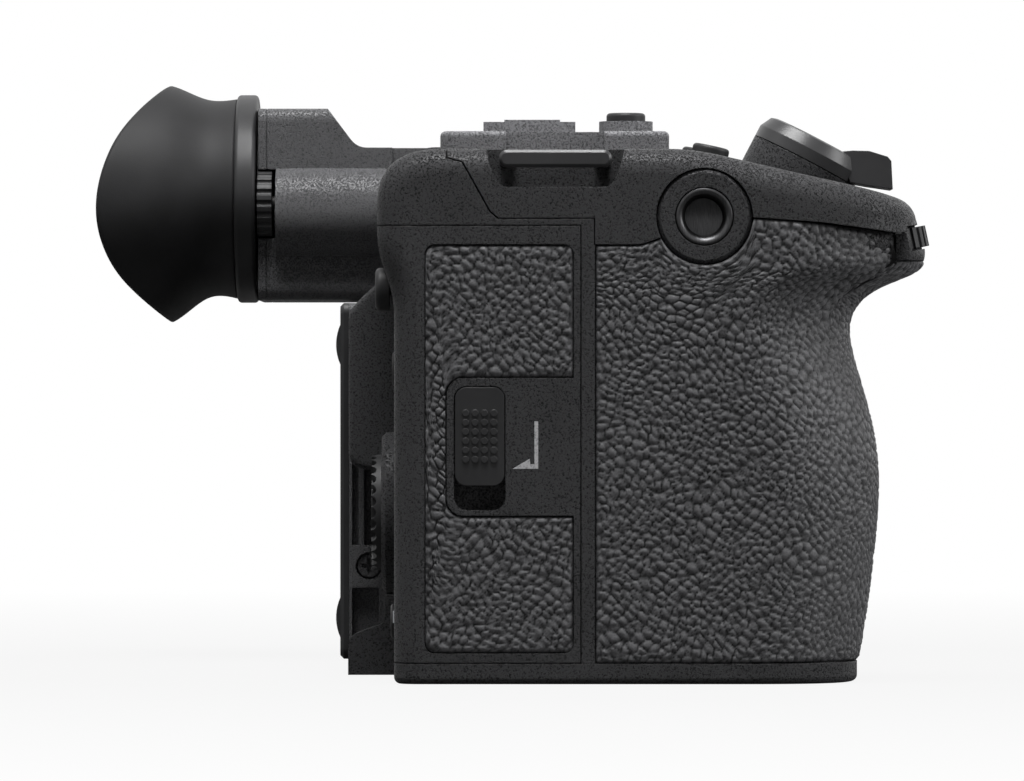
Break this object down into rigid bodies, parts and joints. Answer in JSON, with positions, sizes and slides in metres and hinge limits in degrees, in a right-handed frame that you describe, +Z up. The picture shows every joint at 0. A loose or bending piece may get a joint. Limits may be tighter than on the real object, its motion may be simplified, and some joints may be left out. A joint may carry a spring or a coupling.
{
  "type": "cinema camera body",
  "caption": "Compact cinema camera body with deep handgrip, tilting viewfinder, swing-out monitor, lens mount, doors and threaded mounting points.",
  "frame": {"origin": "centre of the tripod thread's mouth in the underside, below the lens axis", "axes": "-Y is the way the lens looks, +Z is up, -X is the handgrip side, +X is the connector side"},
  "size_m": [0.1303, 0.1187, 0.0856],
  "materials": {
    "casing_paint": "fine wrinkle texture, semi matt",
    "deck_paint": "fine wrinkle texture, satin",
    "grip_leather": "pebbled grain, matt",
    "control_plastic": "smooth matt",
    "lever_metal": "satin",
    "viewfinder_paint": "fine texture, semi matt",
    "eyecup_rubber": "soft matt",
    "optic_glass": "coated, clear",
    "screen_glass": "glossy dark cover",
    "mount_steel": "turned, satin",
    "thread_steel": "blackened steel",
    "screw_steel": "blackened steel",
    "chassis_metal": "as milled",
    "contact_gold": "plated, bright",
    "inner_plastic": "moulded, matt",
    "battery_plastic": "moulded, matt",
    "board_laminate": "solder mask",
    "card_plastic": "moulded, matt"
  },
  "bodies": {
    "body": {"top_cover": "casing_paint", "grip_frame": "casing_paint", "grip_skin": "grip_leather", "front_cover": "casing_paint", "rear_cover": "casing_paint", "base_plate": "casing_paint", "top_deck": "deck_paint", "shoe": "deck_paint", "strap_bars": "lever_metal", "thread_inserts": "thread_steel", "thread_boss": "casing_paint", "mount_ring": "mount_steel", "case_screws": "screw_steel", "contact_block": "inner_plastic", "contact_pins": "contact_gold", "chassis": "chassis_metal", "sensor_unit": "inner_plastic", "sensor_glass": "optic_glass", "main_board": "board_laminate", "card_unit": "inner_plastic", "cards": "card_plastic", "battery": "battery_plastic", "ports": "inner_plastic", "evf_bracket": "viewfinder_paint", "evf_pin": "thread_steel", "monitor_hinge": "lever_metal", "lever_turret": "casing_paint", "thumb_rest": "casing_paint"},
    "zoom_lever": {"zoom_lever": "lever_metal"},
    "shutter_button": {"shutter_button": "control_plastic"},
    "rec_button": {"rec_button": "control_plastic"},
    "near_top_button": {"near_top_button": "control_plastic"},
    "far_top_button": {"far_top_button": "control_plastic"},
    "front_dial": {"front_dial": "control_plastic"},
    "control_wheel": {"control_wheel": "control_plastic"},
    "wheel_button": {"wheel_button": "control_plastic"},
    "stick_gimbal": {"stick_gimbal": "chassis_metal"},
    "joystick": {"joystick": "control_plastic"},
    "menu_button": {"menu_button": "control_plastic"},
    "playback_button": {"playback_button": "control_plastic"},
    "door_carrier": {"door_carrier": "chassis_metal"},
    "card_door": {"card_door": "casing_paint", "door_inlay": "grip_leather"},
    "door_latch": {"door_latch": "control_plastic"},
    "battery_door": {"battery_door": "casing_paint"},
    "battery_latch": {"battery_latch": "control_plastic"},
    "lower_port_cover": {"lower_port_cover": "control_plastic"},
    "upper_port_cover": {"upper_port_cover": "control_plastic"},
    "lens_release": {"lens_release": "control_plastic"},
    "lock_pin": {"lock_pin": "mount_steel"},
    "viewfinder": {"evf_housing": "viewfinder_paint", "evf_display": "screen_glass", "eyepiece_lens": "optic_glass", "eyecup_frame": "control_plastic", "eyecup": "eyecup_rubber"},
    "diopter_dial": {"diopter_dial": "control_plastic"},
    "monitor": {"monitor_arm": "viewfinder_paint", "monitor_shell": "viewfinder_paint", "monitor_panel": "control_plastic", "monitor_screen": "screen_glass"}
  },
  "joints": [
    {"name": "zoom_lever_turn", "type": "hinge", "parent": "body", "child": "zoom_lever", "pos_m": [-0.052, -0.02745, 0.0748], "axis": [0, -0.4617, 0.887], "range_deg": [-20, 20], "stiffness_Nm_per_rad": 0.01},
    {"name": "shutter_button_press", "type": "slide", "parent": "body", "child": "shutter_button", "axis": [0, 0.4617, -0.887], "range_m": [0, 0.0012], "stiffness_N_per_m": 400, "springref_m": -0.0005},
    {"name": "rec_button_press", "type": "slide", "parent": "body", "child": "rec_button", "axis": [0, 0, -1], "range_m": [0, 0.0008], "stiffness_N_per_m": 400, "springref_m": -0.0005},
    {"name": "near_top_button_press", "type": "slide", "parent": "body", "child": "near_top_button", "axis": [0, 0.2079, -0.9781], "range_m": [0, 0.0007], "stiffness_N_per_m": 400, "springref_m": -0.0005},
    {"name": "far_top_button_press", "type": "slide", "parent": "body", "child": "far_top_button", "axis": [0, 0.2079, -0.9781], "range_m": [0, 0.0007], "stiffness_N_per_m": 400, "springref_m": -0.0005},
    {"name": "front_dial_turn", "type": "hinge", "parent": "body", "child": "front_dial", "pos_m": [-0.0565, -0.0348, 0.05975], "axis": [0, 0.2079, 0.9781], "continuous": true},
    {"name": "control_wheel_turn", "type": "hinge", "parent": "body", "child": "control_wheel", "pos_m": [-0.052, 0.0325, 0.0231], "axis": [0, 1, 0], "continuous": true},
    {"name": "wheel_button_press", "type": "slide", "parent": "body", "child": "wheel_button", "axis": [0, -1, 0], "range_m": [0, 0.0005], "stiffness_N_per_m": 400, "springref_m": -0.0005},
    {"name": "joystick_tilt_x", "type": "hinge", "parent": "body", "child": "stick_gimbal", "pos_m": [-0.055, 0.0294, 0.054], "axis": [1, 0, 0], "range_deg": [-8, 8], "stiffness_Nm_per_rad": 0.01},
    {"name": "joystick_tilt_z", "type": "hinge", "parent": "stick_gimbal", "child": "joystick", "pos_m": [-0.055, 0.0294, 0.054], "axis": [0, 0, 1], "range_deg": [-8, 8], "stiffness_Nm_per_rad": 0.01},
    {"name": "menu_button_press", "type": "slide", "parent": "body", "child": "menu_button", "axis": [0, -1, 0], "range_m": [0, 0.0005], "stiffness_N_per_m": 400, "springref_m": -0.0005},
    {"name": "playback_button_press", "type": "slide", "parent": "body", "child": "playback_button", "axis": [0, -1, 0], "range_m": [0, 0.0005], "stiffness_N_per_m": 400, "springref_m": -0.0005},
    {"name": "card_door_slide", "type": "slide", "parent": "body", "child": "door_carrier", "axis": [0, 1, 0], "range_m": [0, 0.0025]},
    {"name": "card_door_swing", "type": "hinge", "parent": "door_carrier", "child": "card_door", "pos_m": [-0.0663, 0.0292, 0.03], "axis": [0, 0, -1], "range_deg": [0, 100]},
    {"name": "door_latch_slide", "type": "slide", "parent": "card_door", "child": "door_latch", "axis": [0, 0, -1], "range_m": [0, 0.0033]},
    {"name": "battery_door_swing", "type": "hinge", "parent": "body", "child": "battery_door", "pos_m": [-0.0384, -0.002, 0.00105], "axis": [0, -1, 0], "range_deg": [0, 100], "stiffness_Nm_per_rad": 0.002, "springref_deg": -57.3},
    {"name": "battery_latch_slide", "type": "slide", "parent": "battery_door", "child": "battery_latch", "axis": [1, 0, 0], "range_m": [0, 0.002], "stiffness_N_per_m": 200, "springref_m": -0.0005},
    {"name": "lower_port_cover_swing", "type": "hinge", "parent": "body", "child": "lower_port_cover", "pos_m": [0.05605, 0.0052, 0.02], "axis": [0, 0, -1], "range_deg": [0, 100]},
    {"name": "upper_port_cover_swing", "type": "hinge", "parent": "body", "child": "upper_port_cover", "pos_m": [0.05605, 0.0052, 0.045], "axis": [0, 0, -1], "range_deg": [0, 100]},
    {"name": "lens_release_press", "type": "slide", "parent": "body", "child": "lens_release", "axis": [0, 1, 0], "range_m": [0, 0.0015], "stiffness_N_per_m": 400, "springref_m": -0.0005},
    {"name": "lock_pin_slide", "type": "slide", "parent": "body", "child": "lock_pin", "axis": [0, 1, 0], "range_m": [0, 0.0015]},
    {"name": "viewfinder_tilt", "type": "hinge", "parent": "body", "child": "viewfinder", "pos_m": [0.0346, 0.026, 0.0698], "axis": [1, 0, 0], "range_deg": [0, 90]},
    {"name": "diopter_dial_turn", "type": "hinge", "parent": "viewfinder", "child": "diopter_dial", "pos_m": [0.0192, 0.0511, 0.0675], "axis": [0, 1, 0], "range_deg": [-135, 135]},
    {"name": "monitor_swing", "type": "hinge", "parent": "body", "child": "monitor", "pos_m": [0.0516, 0.0354, 0.026], "axis": [0, 0, -1], "range_deg": [0, 175]}
  ],
  "couplings": [
    {"joint": "lock_pin_slide", "follows": "lens_release_press", "ratio": 1}
  ]
}
